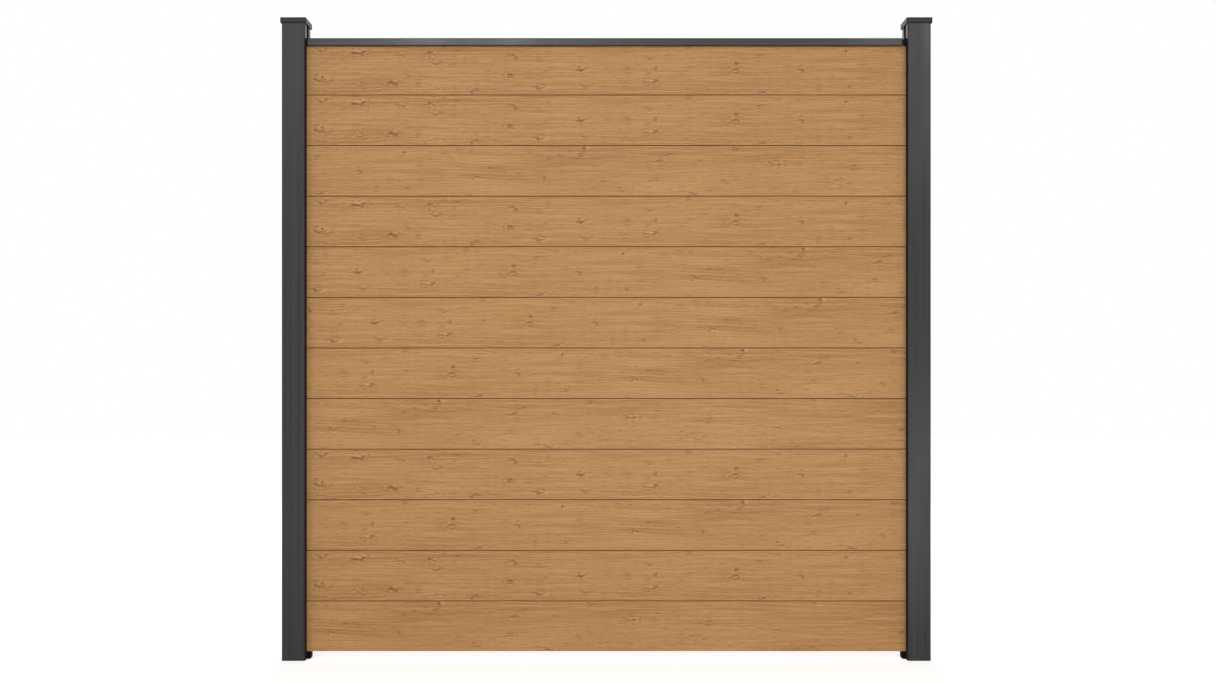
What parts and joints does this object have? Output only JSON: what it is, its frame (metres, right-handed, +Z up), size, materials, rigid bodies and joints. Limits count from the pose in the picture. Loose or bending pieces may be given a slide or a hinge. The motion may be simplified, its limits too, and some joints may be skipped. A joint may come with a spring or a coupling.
{
  "type": "fence panel",
  "caption": "Slot-in privacy fence panel: wood-look PVC tongue-and-groove boards between square capped aluminium posts, with an aluminium top rail.",
  "frame": {"origin": "on the ground, midway between the posts and midway through their depth", "axes": "+X along the fence to the right as seen from the front, +Y from the front to the back, +Z up"},
  "size_m": [1.919, 0.076, 1.894],
  "materials": {
    "post_aluminium": "anthracite powder coat, fine texture",
    "rail_aluminium": "anthracite powder coat, fine texture",
    "cover_aluminium": "anthracite powder coat, fine texture",
    "cap_plastic": "matte anthracite moulding",
    "board_film": "light oak wood-look film on rigid PVC, matte",
    "rail_end_plastic": "matte black moulding",
    "support_rubber": "matte black"
  },
  "bodies": {
    "root": {"post_left": "post_aluminium", "slot_cover_left": "cover_aluminium", "post_cap_left": "cap_plastic", "rail_end_left": "rail_end_plastic", "board_support_left": "support_rubber", "post_right": "post_aluminium", "slot_cover_right": "cover_aluminium", "post_cap_right": "cap_plastic", "rail_end_right": "rail_end_plastic", "board_support_right": "support_rubber", "top_rail": "rail_aluminium", "board_01": "board_film", "board_02": "board_film", "board_03": "board_film", "board_04": "board_film", "board_05": "board_film", "board_06": "board_film", "board_07": "board_film", "board_08": "board_film", "board_09": "board_film", "board_10": "board_film", "board_11": "board_film", "board_12": "board_film"}
  },
  "joints": []
}
